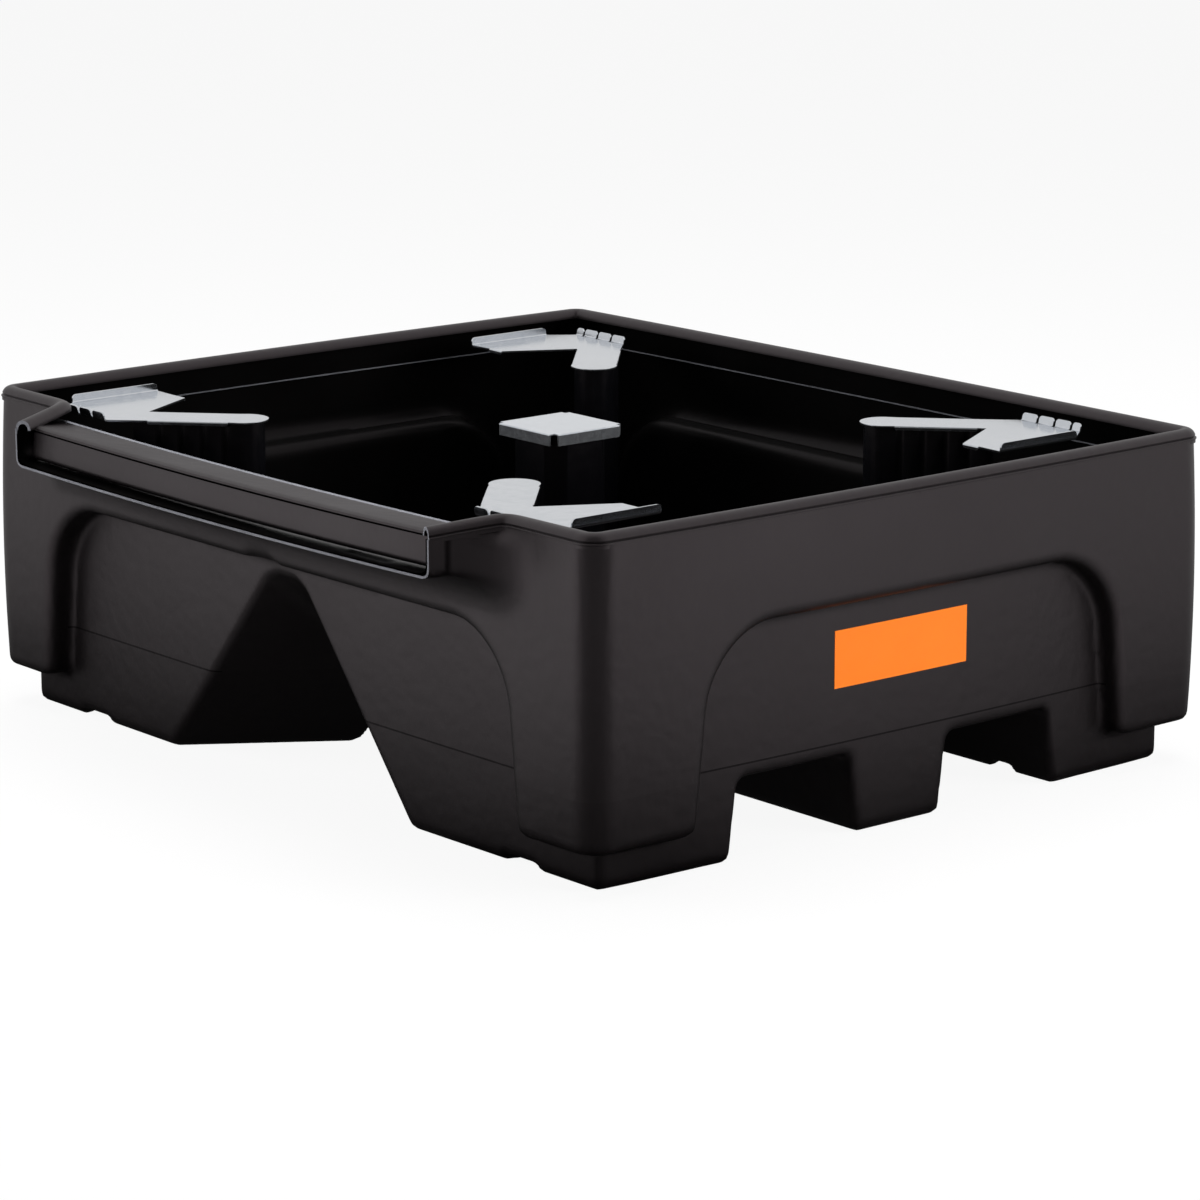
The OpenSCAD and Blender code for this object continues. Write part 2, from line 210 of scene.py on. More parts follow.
soft_lamp("top_lamp", (-0.4, 0.4, 3.6), (3.6, 3.6), 230)
soft_lamp("front_lamp", (-4.4, -3.9, 2.0), (3.0, 2.0), 190)
soft_lamp("side_lamp", (4.6, 3.4, 2.0), (3.0, 2.0), 230)

# %% [markdown]
# ## The floor
# The tray stands on white. A plain white plane would look grey or glare in the plastic, so one material
# mixes three answers: paint for light and shadow, white for the camera, and for reflections a brightness
# that grows with the distance from the tray and is lower on its far side. That brightness is a painted
# shadow of the tray, seen only in reflections, and the painted dark side toward the camera lowers it more.

# %% Pale floor
floor_size = 30.0
floor_grey = (0.85, 0.85, 0.85, 1.0)
floor_roughness = 0.9
floor_white = 0.92
floor_mirror = (0.03, 1.1)
bright_from = 1.25
near_axis = Vector((0.63, -0.777, 0.0))
near_ends = (0.0, 0.25)
far_painted_shade = 0.48
painted_dark_inset = 0.55
floor_mesh = bpy.data.meshes.new("floor")
floor_grid = bmesh.new()
bmesh.ops.create_grid(floor_grid, x_segments=1, y_segments=1, size=floor_size)
floor_grid.to_mesh(floor_mesh)
floor_grid.free()
floor = bpy.data.objects.new("floor", floor_mesh)
scene.collection.objects.link(floor)
floor_finish, floor_tree, floor_paint = new_material("pale_floor")
set_inputs(floor_paint, Base_Color=floor_grey, Roughness=floor_roughness, Specular_IOR_Level=0.0)
from_camera, mirrored = ray_kinds(floor_tree)
painted_dark_middle = Vector((tray_high.x, -tray_high.y)) * painted_dark_inset
floor_place = floor_tree.nodes.new("ShaderNodeTexCoord").outputs["Object"]
floor_parts = add_node(floor_tree, "ShaderNodeSeparateXYZ", Vector=floor_place).outputs
# Painted shadow for reflections: the floor is dark next to the tray and brightens with the distance.
gap_x = calculate("SUBTRACT", calculate("ABSOLUTE", floor_parts[0]), tray_high.x)
gap_y = calculate("SUBTRACT", calculate("ABSOLUTE", floor_parts[1]), tray_high.y)
floor_gap = calculate("MAXIMUM", gap_x, gap_y)
floor_ramp = add_node(floor_tree, "ShaderNodeMapRange", Value=floor_gap, From_Min=0.0, From_Max=bright_from)
floor_ramp.inputs["To Min"].default_value, floor_ramp.inputs["To Max"].default_value = floor_mirror
# Painted dark side toward the camera, seen only in reflections.
floor_side = dark_side(floor_place, painted_dark_middle, *painted_dark_ends)
floor_open = calculate("MULTIPLY_ADD", floor_side, -painted_dark_share, 1.0)
# Painted shade on the tray's far side, seen only in reflections.
nearness = calculate_vector("DOT_PRODUCT", floor_place, near_axis)
near_side = rise(nearness, *near_ends)
floor_inner = calculate("MULTIPLY_ADD", near_side, far_painted_shade, 1.0 - far_painted_shade)
floor_bright = calculate("MULTIPLY", floor_ramp.outputs["Result"], floor_open)
floor_bright = calculate("MULTIPLY", floor_bright, floor_inner)
floor_shine = add_node(floor_tree, "ShaderNodeEmission", Strength=floor_bright)
floor_glow = add_node(floor_tree, "ShaderNodeEmission")
floor_share = calculate("MULTIPLY", from_camera, floor_white)
floor_plain = mix_shaders(floor_share, floor_paint.outputs[0], floor_glow.outputs[0])
floor_all = mix_shaders(mirrored, floor_plain, floor_shine.outputs[0])
set_inputs(floor_tree.nodes["Material Output"], Surface=floor_all)
floor_mesh.materials.append(floor_finish)
print("Floor", 2 * floor_size, "m wide")

# %% [markdown]
# ## Moulded grain
# Moulded plastic is never quite even: it has a fine grain from the mould, slow waves from shrinking
# and large patches that shine a little more or less. Painted maps could show this, but noise in the
# object's own space needs no unwrapping. All the plastics share it, so it is one node group.

# %% Node group for the moulded grain
grain_group = bpy.data.node_groups.new("moulded_grain", "ShaderNodeTree")
for name, kind in (("Vector", "Vector"), ("Grain", "Float"), ("Waves", "Float"), ("Patches", "Float")):
    grain_group.interface.new_socket(name, in_out="INPUT", socket_type="NodeSocket" + kind)
for name in ("Tone", "Gloss", "Height"):
    grain_group.interface.new_socket(name, in_out="OUTPUT", socket_type="NodeSocketFloat")
given = grain_group.nodes.new("NodeGroupInput").outputs
noises = []
for name, detail in (("Grain", 2.0), ("Waves", 1.0), ("Patches", 4.0)):
    noise = add_node(grain_group, "ShaderNodeTexNoise", Vector=given["Vector"], Scale=given[name])
    noise.inputs["Detail"].default_value = detail
    noises.append(noise.outputs["Fac"])
grain_value, wave_value, patch_value = noises
grain_rise = 0.12
grain_speckle = 0.35
height = calculate("MULTIPLY_ADD", grain_value, grain_rise, wave_value)
speckle = calculate("MULTIPLY_ADD", grain_value, grain_speckle, patch_value)
tone = calculate("SUBTRACT", speckle, grain_speckle / 2)
add_node(grain_group, "NodeGroupOutput", Tone=tone, Gloss=patch_value, Height=height)
print("Moulded grain", len(grain_group.nodes), "nodes")

# %% [markdown]
# ## Plastics
# The tray is black polyethylene with a warm sheen. Its cut edges are paler where the saw has torn them.
# The inside is smoother, and its darker tones and weaker shine are painted shade, for the sump that the
# lamps hardly reach. The posts and the label's film come from the same function: it gives each plastic
# its two tones, its gloss and the depth of its grain.

# %% Make the plastics
sheen_tint = (1.0, 0.86, 0.91, 1.0)


def plastic(name, dark, light, roughness, specular, grain, depth):
    """Moulded plastic: two tones, a range of roughness, three scales of grain and its depth."""
    material, tree, paint = new_material(name)
    place = tree.nodes.new("ShaderNodeTexCoord").outputs["Object"]
    surface = tree.nodes.new("ShaderNodeGroup")
    surface.node_tree = grain_group
    wire(surface.inputs, (place, *grain))
    low, high = roughness
    bump = add_node(tree, "ShaderNodeBump", Height=surface.outputs["Height"], Strength=1.0, Distance=depth)
    set_inputs(
        paint,
        Base_Color=mix_tones(surface.outputs["Tone"], dark, light),
        Roughness=calculate("MULTIPLY_ADD", surface.outputs["Gloss"], high - low, low),
        Specular_IOR_Level=specular,
        Specular_Tint=sheen_tint,
        Normal=bump.outputs["Normal"],
    )
    print("Plastic", name)
    return material


tray_plastic = plastic(
    "tray_plastic",
    dark=(0.0022, 0.0018, 0.0019),
    light=(0.0046, 0.0038, 0.004),
    roughness=(0.36, 0.5),
    specular=0.68,
    grain=(900, 45, 6),
    depth=0.0006,
)
# Painted shade: the inside has darker tones and less shine than the outside, because little light falls into
# the sump.
tray_inside_painted_shade = plastic(
    "tray_inside_painted_shade",
    dark=(0.001, 0.001, 0.001),
    light=(0.003, 0.0028, 0.0028),
    roughness=(0.26, 0.38),
    specular=0.12,
    grain=(900, 30, 6),
    depth=0.0006,
)
# Pale torn plastic for the cut edges. The ledge inside wears it too, as a painted highlight.
cut_and_highlight_plastic = plastic(
    "cut_and_highlight_plastic",
    dark=(0.10, 0.105, 0.12),
    light=(0.24, 0.245, 0.27),
    roughness=(0.45, 0.7),
    specular=0.3,
    grain=(700, 160, 30),
    depth=0.001,
)
post_plastic = plastic(
    "post_plastic",
    dark=(0.001, 0.001, 0.0014),
    light=(0.003, 0.003, 0.0038),
    roughness=(0.18, 0.32),
    specular=0.14,
    grain=(900, 40, 8),
    depth=0.0004,
)
label_film = plastic(
    "label_film",
    dark=(0.93, 0.195, 0.012),
    light=(1.0, 0.23, 0.017),
    roughness=(0.32, 0.46),
    specular=0.15,
    grain=(1200, 60, 12),
    depth=0.0002,
)

# %% [markdown]
# ## The parting line
# The two halves of the mould meet in the recesses, just above the fork tunnels, and leave a thin line.
# A real groove would be finer than the skin's cells, so the material takes its shine away there. It also
# takes a little shine away everywhere on the tray below the line: painted shade for the lower faces,
# which slope in more and lie darker.

# %% Draw the parting line on the recess panels
seam_z = 0.138
seam_half = 0.0013
seam_shine = 0.25
below_seam_painted_shade = 0.08
seam_reach = ((0.68, 0.706), (0.54, 0.560))
seam_tree = tray_plastic.node_tree
seam_place = seam_tree.nodes.new("ShaderNodeTexCoord").outputs["Object"]
seam_parts = add_node(seam_tree, "ShaderNodeSeparateXYZ", Vector=seam_place).outputs
seam_off = calculate("ABSOLUTE", calculate("SUBTRACT", seam_parts[2], seam_z))
seam_line = calculate("LESS_THAN", seam_off, seam_half)
outer = []
for axis, (near, far) in enumerate(seam_reach):
    side = calculate("ABSOLUTE", seam_parts[axis])
    outer.append(calculate("GREATER_THAN", side, near))
    seam_line = calculate("MULTIPLY", seam_line, calculate("LESS_THAN", side, far))
seam_line = calculate("MULTIPLY", seam_line, calculate("MAXIMUM", *outer))
seam_paint = seam_tree.nodes["Principled BSDF"]
full_shine = seam_paint.inputs["Specular IOR Level"].default_value
# Below the line the shine drops everywhere on the tray: painted shade.
seam_under = calculate("LESS_THAN", seam_parts[2], seam_z)
seam_below = calculate("MULTIPLY", seam_under, below_seam_painted_shade)
seam_drawn = calculate("MULTIPLY", seam_line, 1.0 - seam_shine)
seam_dark = calculate("MAXIMUM", seam_drawn, seam_below)
seam_spec = calculate("MULTIPLY_ADD", seam_dark, -full_shine, full_shine)
set_inputs(seam_paint, Specular_IOR_Level=seam_spec)
print("Parting line at", seam_z, "m")

# %% [markdown]
# ## Galvanised steel
# Hot zinc freezes into flat crystals, each of which shines in its own direction. That is the
# spangle. A Voronoi pattern gives cells with a random value each, and the value sets a cell's tone
# and gloss. Fine noise softens the borders. The cap is duller than the supports, so it has a zinc of
# its own.

# %% Make the galvanised steel
drift_per_cell = 1.5
drift_reach = 0.004
cloud_scale = 14.0
spangle_share = 0.55
scratch_scale = 420.0
scratch_strength = 0.2
scratch_depth = 0.0001


def galvanised(name, dark, light, roughness, cells, metal):
    """Zinc on steel: two tones, a range of roughness, cells per metre and a share of metal."""
    material, tree, paint = new_material(name)
    place = tree.nodes.new("ShaderNodeTexCoord").outputs["Object"]
    drift = add_node(tree, "ShaderNodeTexNoise", Vector=place, Scale=cells * drift_per_cell, Detail=2.0)
    reach = (drift_reach, drift_reach, drift_reach)
    shifted = calculate_vector("MULTIPLY_ADD", drift.outputs["Color"], reach, place)
    spangle = add_node(tree, "ShaderNodeTexVoronoi", Vector=shifted, Scale=cells)
    value = add_node(tree, "ShaderNodeSeparateColor", Color=spangle.outputs["Color"]).outputs[0]
    cloud = add_node(tree, "ShaderNodeTexNoise", Vector=place, Scale=cloud_scale, Detail=3.0).outputs["Fac"]
    cloud_part = calculate("MULTIPLY", cloud, 1.0 - spangle_share)
    blend = calculate("MULTIPLY_ADD", value, spangle_share, cloud_part)
    low, high = roughness
    scratches = add_node(tree, "ShaderNodeTexNoise", Vector=place, Scale=scratch_scale, Detail=2.0)
    bump = add_node(tree, "ShaderNodeBump", Height=scratches.outputs["Fac"])
    set_inputs(bump, Strength=scratch_strength, Distance=scratch_depth)
    set_inputs(
        paint,
        Base_Color=mix_tones(blend, dark, light),
        Metallic=metal,
        Roughness=calculate("MULTIPLY_ADD", value, high - low, low),
        Normal=bump.outputs["Normal"],
    )
    print("Galvanised", name)
    return material


zinc_steel = galvanised(
    "zinc_steel",
    dark=(0.60, 0.63, 0.67),
    light=(0.72, 0.74, 0.775),
    roughness=(0.12, 0.2),
    cells=90.0,
    metal=0.98,
)
cap_steel = galvanised(
    "cap_steel",
    dark=(0.57, 0.60, 0.64),
    light=(0.70, 0.72, 0.755),
    roughness=(0.14, 0.24),
    cells=130.0,
    metal=0.86,
)

# %% [markdown]
# ## Helpers for every piece
# A finished piece sits at the origin with its place in its mesh. The same few steps end each one:
# its modifiers are applied, its edges are shaded smooth up to an angle, and it is tied to a body
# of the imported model.

# %% Finish a piece
smooth_angle = math.radians(40)
touching = 1e-5


def apply_modifiers(piece):
    graph = bpy.context.evaluated_depsgraph_get()
    mesh = bpy.data.meshes.new_from_object(piece.evaluated_get(graph))
    piece.modifiers.clear()
    piece.data = mesh


def new_object(name, bm, materials):
    mesh = bpy.data.meshes.new(name)
    bm.to_mesh(mesh)
    bm.free()
    for material in materials:
        mesh.materials.append(material)
    piece = bpy.data.objects.new(name, mesh)
    scene.collection.objects.link(piece)
    return piece


def soften(bm, parts, radius, steps=3, affect="EDGES", clamp=False):
    """Round edges or corners to a radius."""
    bmesh.ops.bevel(
        bm,
        geom=parts,
        offset=radius,
        segments=steps,
        profile=0.5,
        affect=affect,
        material=-1,
        clamp_overlap=clamp,
    )


def finish_piece(piece, node, body="pallet", flat_from=1.0):
    """Apply modifiers, shade smooth but for faces larger than an area, and tie the piece to its body."""
    apply_modifiers(piece)
    piece.data.shade_smooth()
    piece.data.set_sharp_from_angle(angle=smooth_angle)
    for face in piece.data.polygons:
        if face.area > flat_from:
            face.use_smooth = False
    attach(piece, body)
    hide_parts(node)
    piece.data.calc_loop_triangles()
    print(piece.name, len(piece.data.loop_triangles), "triangles")


# %% [markdown]
# ## The tray's moulded skin
# The tray is one hollow moulding, and it has no sharp edge: each recess, runner and notch flows into
# the next. Bevels on so many crossing curved edges tear. A field of distances gives such a shape
# easily: every form is a formula, joining and cutting have a radius of their own, and a volume turns
# the field into a mesh. Geometry nodes hold the formula.

# %% Numbers that change from point to point
class Field:
    """A number that changes from point to point, as the output of a node."""

    def __init__(self, socket):
        self.socket = socket

    @classmethod
    def math(cls, operation, *values):
        return cls(calculate(operation, *[v.socket if isinstance(v, Field) else v for v in values]))

    def __add__(self, other):
        return Field.math("ADD", self, other)

    def __sub__(self, other):
        return Field.math("SUBTRACT", self, other)

    def __rsub__(self, other):
        return Field.math("SUBTRACT", other, self)

    def __mul__(self, other):
        return Field.math("MULTIPLY", self, other)

    def __neg__(self):
        return Field.math("MULTIPLY", self, -1.0)

    def __abs__(self):
        return Field.math("ABSOLUTE", self)


def larger(a, b):
    return Field.math("MAXIMUM", a, b)


def smaller(a, b):
    return Field.math("MINIMUM", a, b)


def root(a):
    return Field.math("SQRT", a)


def overlap(a, b, radius):
    """What two forms share, with the edge between them rounded."""
    u = larger(a + radius, 0.0)
    v = larger(b + radius, 0.0)
    return smaller(larger(a, b) + radius, 0.0) + root(u * u + v * v) - radius


def join(a, b, radius):
    """Two forms together, with the corner between them filled to a radius."""
    return -overlap(-a, -b, radius)


def cut(a, b, radius):
    """A form less another, with the edge rounded."""
    return overlap(a, -b, radius)


# %% Walls, columns and recesses
skin_tree = bpy.data.node_groups.new("tray_skin", "GeometryNodeTree")
skin_tree.interface.new_socket("Geometry", in_out="OUTPUT", socket_type="NodeSocketGeometry")
point = skin_tree.nodes.new("GeometryNodeInputPosition")
point_parts = skin_tree.nodes.new("ShaderNodeSeparateXYZ")
skin_tree.links.new(point.outputs[0], point_parts.inputs[0])
x, y, z = (Field(socket) for socket in point_parts.outputs)
from_middle_x = abs(x)
from_middle_y = abs(y)

ridge_proud = 0.0012
wall_bow = Vector((0.009, 0.007))
wall_half = Vector((tray_high.x, tray_high.y)) - wall_bow - Vector((ridge_proud, ridge_proud))
wall_corner = 0.031
skin_corner = 0.040
belt_z = 0.25
belt_fullness = 0.75
rim_z = tray_high.z
column_z = 0.059
column_round = 0.013
column_corner = 0.027
column_step = 0.006
arch_z = 0.343
arch_corner = 0.112
recess_half = Vector((0.570, 0.405))
recess_shift = Vector((-0.010, 0.008))
recess_lean = 0.1
recess_middle = 0.130
recess_edge = 0.014
recess_fillet = 0.010
panel_half = Vector((0.688, 0.548))
panel_bow = Vector((0.012, 0.004))
panel_corner = 0.014
runner_edge = 0.013


def bowed_prism(half, bow, corner, bow_share=1.0):
    """Upright prism over a rectangle with bowed sides, of which a share shows, and rounded corners."""
    side_x = from_middle_x - (half.x + bow.x) + y * y * bow_share * (bow.x / half.y**2)
    side_y = from_middle_y - (half.y + bow.y) + x * x * bow_share * (bow.y / half.x**2)
    return overlap(side_x, side_y, corner)


def raised(distance, half):
    """What stands proud on one side: the band over its arch and the columns, which narrow downward."""
    side = (recess_middle - z) * recess_lean + half - distance
    column = overlap(side, column_z - column_step - z, column_corner)
    return join(arch_z - z, column, arch_corner)


from_belt = (z - belt_z) * (1.0 / belt_z)
belt = larger(1.0 - from_belt * from_belt, 0.0)
walls = bowed_prism(wall_half, wall_bow, skin_corner, 1.0 - belt * belt_fullness)
walls = overlap(walls, column_z - z, column_round)
walls = overlap(walls, raised(abs(x - recess_shift.x), recess_half.x), recess_edge)
walls = overlap(walls, raised(abs(y - recess_shift.y), recess_half.y), recess_edge)
panels = overlap(bowed_prism(panel_half, panel_bow, panel_corner), -z, runner_edge)
panels = overlap(panels, z - (arch_z + 2 * arch_corner / 3), recess_edge)
form = join(walls, panels, recess_fillet)
print("Walls and recesses", len(skin_tree.nodes), "nodes")

# %% [markdown]
# ## Tunnels, notch and grooves
# The tines of a forklift enter through two tunnels, a notch like a tent opens the front, and shallow
# grooves under the runners may take straps. Boolean cuts would leave sharp edges. In the field each
# opening is one more form to take away, with a round edge of its own.

# %% Fork tunnels, front notch and strap grooves
tunnel_middle = 0.198
tunnel_half = 0.117
tunnel_lean = 0.128
tunnel_z = 0.117
tunnel_corner = 0.014
mouth_edge = 0.010
tunnel_side = abs(from_middle_y - tunnel_middle) + z * tunnel_lean - tunnel_half
form = cut(form, overlap(tunnel_side, z - tunnel_z, tunnel_corner), mouth_edge)

notch_half = 0.296
notch_rise = 0.814
notch_taper = 0.68
notch_ridge = 0.038
notch_round = 0.016
notch_shift = -0.015
notch_mouth = 0.006
roof_steepness = math.hypot(notch_rise, notch_taper)
side_steepness = math.hypot(1.0, roof_steepness)
notch_slope = z * notch_rise + (y + panel_half.y) * notch_taper - notch_half
notch_sides = (notch_slope + abs(x - notch_shift)) * (1.0 / side_steepness)
notch_roof = (notch_slope + notch_ridge) * (1.0 / roof_steepness)
form = cut(form, overlap(notch_sides, notch_roof, notch_round), notch_mouth)

groove_x = 0.521
groove_half = 0.036
groove_skew = 0.296
groove_narrowing = 0.064
groove_depth = 0.011
groove_start = 0.262
groove_edge = 0.006
groove_run = larger(panel_half.y - from_middle_y, 0.0)
groove_line = from_middle_x - groove_x - groove_run * groove_skew
groove_side = abs(groove_line) - groove_half + groove_run * groove_narrowing
groove = overlap(groove_side, z - groove_depth, groove_edge)
form = cut(form, overlap(groove, groove_start - from_middle_y, groove_edge), groove_edge)
print("Tunnels, notch and grooves", len(skin_tree.nodes), "nodes")

# %% [markdown]
# ## The spout
# The front wall bulges into a shallow trough with slanted sides and a lip along its front. Modelled by
# hand, the wide fillet under it would cross many edges. The field joins the two with one radius, which
# fades out near the rim, where the real bend is tight.

# %% Spout
spout_front = tray_low.y
spout_bend = Vector((0.550, -0.590))
spout_half = 0.507
spout_z = 0.421
lip_run = 0.026
lip_step = 0.008
belly_fillet = 0.066
belly_edge = 0.008
fillet_end = 0.462
fillet_fade = 0.024
lip_edge = 0.012
spare = 0.02
spout_sag = 0.006
cheek_line = (spout_bend - Vector((spout_half, spout_front))).normalized()
cheek = (from_middle_x - spout_bend.x) * cheek_line.y - (y - spout_bend.y) * cheek_line.x
behind = y - (spout_bend.y + 3 * spare)


def trough(side, front, edge):
    """Block under the spout, from the wall out to a front plane."""
    sag = x * x * (spout_sag / spout_half**2) - spout_sag
    block = overlap(overlap(side, sag + spout_z - z, edge), behind, edge)
    return overlap(block, front - y, edge)


belly = trough(cheek + lip_step, spout_front + lip_run / 2, belly_edge)
near_rim = smaller(larger((z - fillet_end) * (1.0 / fillet_fade), 0.0), 1.0)
softly = join(form, belly, belly_fillet)
form = softly + (join(form, belly, belly_edge) - softly) * near_rim
lip = trough(cheek, spout_front - spare, lip_edge)
lip = overlap(lip, y - (spout_front + lip_run), lip_step / 2)
form = join(form, lip, ridge_proud)
form = overlap(form, z - (rim_z + spare), ridge_proud)
print("Spout", len(skin_tree.nodes), "nodes")

# %% [markdown]
# ## Skin and liner
# The real wall has one thickness. A Solidify modifier would fold over itself in tight corners, but the
# same field gives a second surface at that depth, so the liner stays inside the skin. Planes then open
# both under the rim and at the spout, and the skin's open edge at the spout is turned in.

# %% Turn the field into skins
wall_thickness = 0.006
skin_cell = 0.0062
liner_cell = 0.012
skin_margin = Vector((0.03, 0.03, 0.03))
grid_low = tray_low - skin_margin
grid_high = tray_high + skin_margin


def mesh_of_field(name, depth, cell):
    """The surface that lies at a depth inside the form, as a mesh with cells of a size."""
    tree = skin_tree
    grid = add_node(tree, "GeometryNodeVolumeCube", Min=grid_low, Max=grid_high, Density=(-form).socket)
    grid.inputs["Background"].default_value = -skin_margin.x
    for axis, length in zip("XYZ", grid_high - grid_low):
        grid.inputs["Resolution " + axis].default_value = round(length / cell)
    mesher = add_node(tree, "GeometryNodeVolumeToMesh", Volume=grid.outputs[0], Threshold=depth)
    tree.links.new(mesher.outputs[0], skin_result.inputs[0])
    piece = new_object(name, bmesh.new(), [])
    piece.modifiers.new("field", "NODES").node_group = tree
    apply_modifiers(piece)
    piece.data.materials.clear()
    print(name, len(piece.data.polygons), "faces")
    return piece


skin_result = skin_tree.nodes.new("NodeGroupOutput")
skin = mesh_of_field("tray_skin_right", 0.0, skin_cell)
liner = mesh_of_field("tray_liner", wall_thickness, liner_cell)

# %% Open the rim and the spout
bead_hides = 0.0145
spout_drop = 0.012
skin_top = rim_z - bead_hides
jog_slope = Vector((0.0, -spout_drop, spout_bend.y - spout_front)).normalized()


def slice_off(bm, place, normal, ahead=None):
    """Take away what lies beyond a plane, all along or only ahead of a distance from the middle."""
    # A dict keeps its parts in the same order each run, which a set does not
    parts = {}
    for face in bm.faces:
        if ahead is None or face.calc_center_median().y < ahead:
            parts.update(dict.fromkeys([face, *face.edges, *face.verts]))
    bmesh.ops.bisect_plane(
        bm, geom=list(parts), dist=touching, plane_co=place, plane_no=normal, clear_outer=True
    )


def opened(piece):
    bm = bmesh.new()
    bm.from_mesh(piece.data)
    slice_off(bm, (0, 0, skin_top), (0, 0, 1))
    slice_off(bm, (0, spout_front, 0), (0, -1, 0))
    slice_off(bm, (0, spout_bend.y, skin_top), jog_slope, spout_bend.y)
    return bm


print("The skin ends", round(skin_top, 4), "m up, under the rim's bead")

# %% Cut edge of the spout
cut_width = 0.0036
cut_reach = 0.002


def cut_edge(bm):
    """Turn the open edge of the spout inward, thinner than the wall."""
    bm.normal_update()
    open_edges = [e for e in bm.edges if e.is_boundary]
    edges = [e for e in open_edges if max(v.co.y for v in e.verts) < spout_front + cut_reach]
    turned = {}
    for vert in dict.fromkeys(v for e in edges for v in e.verts):
        inward = -vert.normal
        inward.y = 0.0
        turned[vert] = bm.verts.new(vert.co + inward.normalized() * cut_width)
    for edge in edges:
        start = edge.link_loops[0].vert
        end = edge.other_vert(start)
        bm.faces.new((end, start, turned[start], turned[end])).material_index = 1


skin_mesh = opened(skin)
cut_edge(skin_mesh)
skin_left_mesh = skin_mesh.copy()
slice_off(skin_mesh, (0, 0, 0), (-1, 0, 0))
slice_off(skin_left_mesh, (0, 0, 0), (1, 0, 0))
skin_mesh.to_mesh(skin.data)
skin_mesh.free()
skin.data.materials.append(tray_plastic)
skin.data.materials.append(cut_and_highlight_plastic)
skin_left = new_object("tray_skin_left", skin_left_mesh, [tray_plastic, cut_and_highlight_plastic])
finish_piece(skin, "tray")
finish_piece(skin_left, "tray")

liner_mesh = opened(liner)
bmesh.ops.reverse_faces(liner_mesh, faces=liner_mesh.faces)
liner_mesh.to_mesh(liner.data)
liner_mesh.free()
liner.data.materials.append(tray_inside_painted_shade)
finish_piece(liner, "tray")

# %% [markdown]
# ## Sweeping a profile
# The rolled rim, the ledge below it and the spout's panel and sill all have one cross-section along a
# path. A curve with a bevel object could do it. A ring of points at each place, joined by faces, keeps
# the section upright and the corners even, and both ends can be closed.

# %% Sweep a closed profile from place to place
def upright_place(at, outward):
    """Matrix with X outward, Y along the path and Z up."""
    up = Vector((0.0, 0.0, 1.0))
    side = Vector((outward[0], outward[1], 0.0)).normalized()
    turn = Matrix((side, up.cross(side), up)).transposed()
    return Matrix.Translation(at) @ turn.to_4x4()


def sweep(bm, profile, places):
    """Carry a closed profile (outward, up) along the places and close both ends."""
    rings = [[bm.verts.new(place @ Vector((u, 0.0, v))) for u, v in profile] for place in places]
    faces = []
    for before, after in zip(rings, rings[1:]):
        for i in range(len(profile)):
            faces.append(bm.faces.new((before[i - 1], before[i], after[i], after[i - 1])))
    caps = [bm.faces.new(rings[0]), bm.faces.new(rings[-1])]
    bmesh.ops.recalc_face_normals(bm, faces=faces + caps)
    return caps


def arc(middle, radius, start, end, steps):
    """Points of a round stretch, in degrees."""
    turns = [math.radians(start + (end - start) * i / steps) for i in range(steps + 1)]
    return [(middle[0] + radius * math.cos(a), middle[1] + radius * math.sin(a)) for a in turns]


# %% [markdown]
# ## The rolled rim
# The wall rolls over into a round bead with a short inner leg, and a fine ridge runs along its outer
# foot. At the spout the bead bends outward, drops a little and ends in a cut hook. Its path is the
# wall's own outline, moved in by half of the bead's width.

# %% Path of the rim
bead_half = 0.014
side_steps = 24
corner_steps = 10
bend_run = 0.045
bend_steps = 12


def bowed(distance, half, bow):
    return bow * (1.0 - (distance / half) ** 2)


def quarter(inset):
    """Rear right quarter of the wall's outline, from the middle of the side to that of the rear."""
    half = wall_half - Vector((inset, inset))
    corner = wall_corner - inset
    straight = half - Vector((corner, corner))
    bulge_x = bowed(straight.y, half.y, wall_bow.x)
    bulge_y = bowed(straight.x, half.x, wall_bow.y)
    points = []
    for i in range(side_steps):
        run = straight.y * i / side_steps
        points.append(Vector((half.x + bowed(run, half.y, wall_bow.x), run)))
    for i in range(corner_steps + 1):
        turn = math.pi / 2 * i / corner_steps
        out = Vector(((corner + bulge_x) * math.cos(turn), (corner + bulge_y) * math.sin(turn)))
        points.append(straight + out)
    for i in range(side_steps - 1, -1, -1):
        run = straight.x * i / side_steps
        points.append(Vector((run, half.y + bowed(run, half.x, wall_bow.y))))
    return points


def half_rim(inset):
    """Right half of the rim's path, from the spout's cut edge to the middle of the rear."""
    rear = quarter(inset)
    front = [Vector((p.x, -p.y)) for p in rear]
    step_in = Vector((cheek_line.y, -cheek_line.x)) * inset
    cut_end = Vector((spout_half, spout_front)) - step_in
    bend = spout_bend - step_in
    bend.y = -(wall_half.y - inset + bowed(bend.x, wall_half.x, wall_bow.y))
    into = bend - cheek_line * bend_run
    onto = bend + Vector((bend_run, 0.0))
    onto.y = -(wall_half.y - inset + bowed(onto.x, wall_half.x, wall_bow.y))
    handles = [p.to_3d() for p in (into, bend, bend, onto)]
    curve = [p.to_2d() for p in interpolate_bezier(*handles, bend_steps)]
    beyond = [p for p in front if p.x > onto.x + bend_run / 3]
    return [cut_end] + curve + beyond[::-1] + rear[1:]


def rim_height(at):
    """The rim's height at a point of its path: it drops along the spout's sides."""
    run = max(0.0, spout_bend.y - at.y) / (spout_bend.y - spout_front)
    return rim_z - spout_drop * run


def rim_places(inset, below):
    """Places along the whole rim, from one side of the spout round to the other."""
    right = half_rim(inset)
    path = right + [Vector((-p.x, p.y)) for p in right[-2::-1]]
    places = []
    for i, at in enumerate(path):
        travel = path[min(i + 1, len(path) - 1)] - path[max(i - 1, 0)]
        height = rim_height(at) - below
        places.append(upright_place(Vector((at.x, at.y, height)), (travel.y, -travel.x)))
    return places


print("Rim path", len(half_rim(bead_half)), "points on each side")

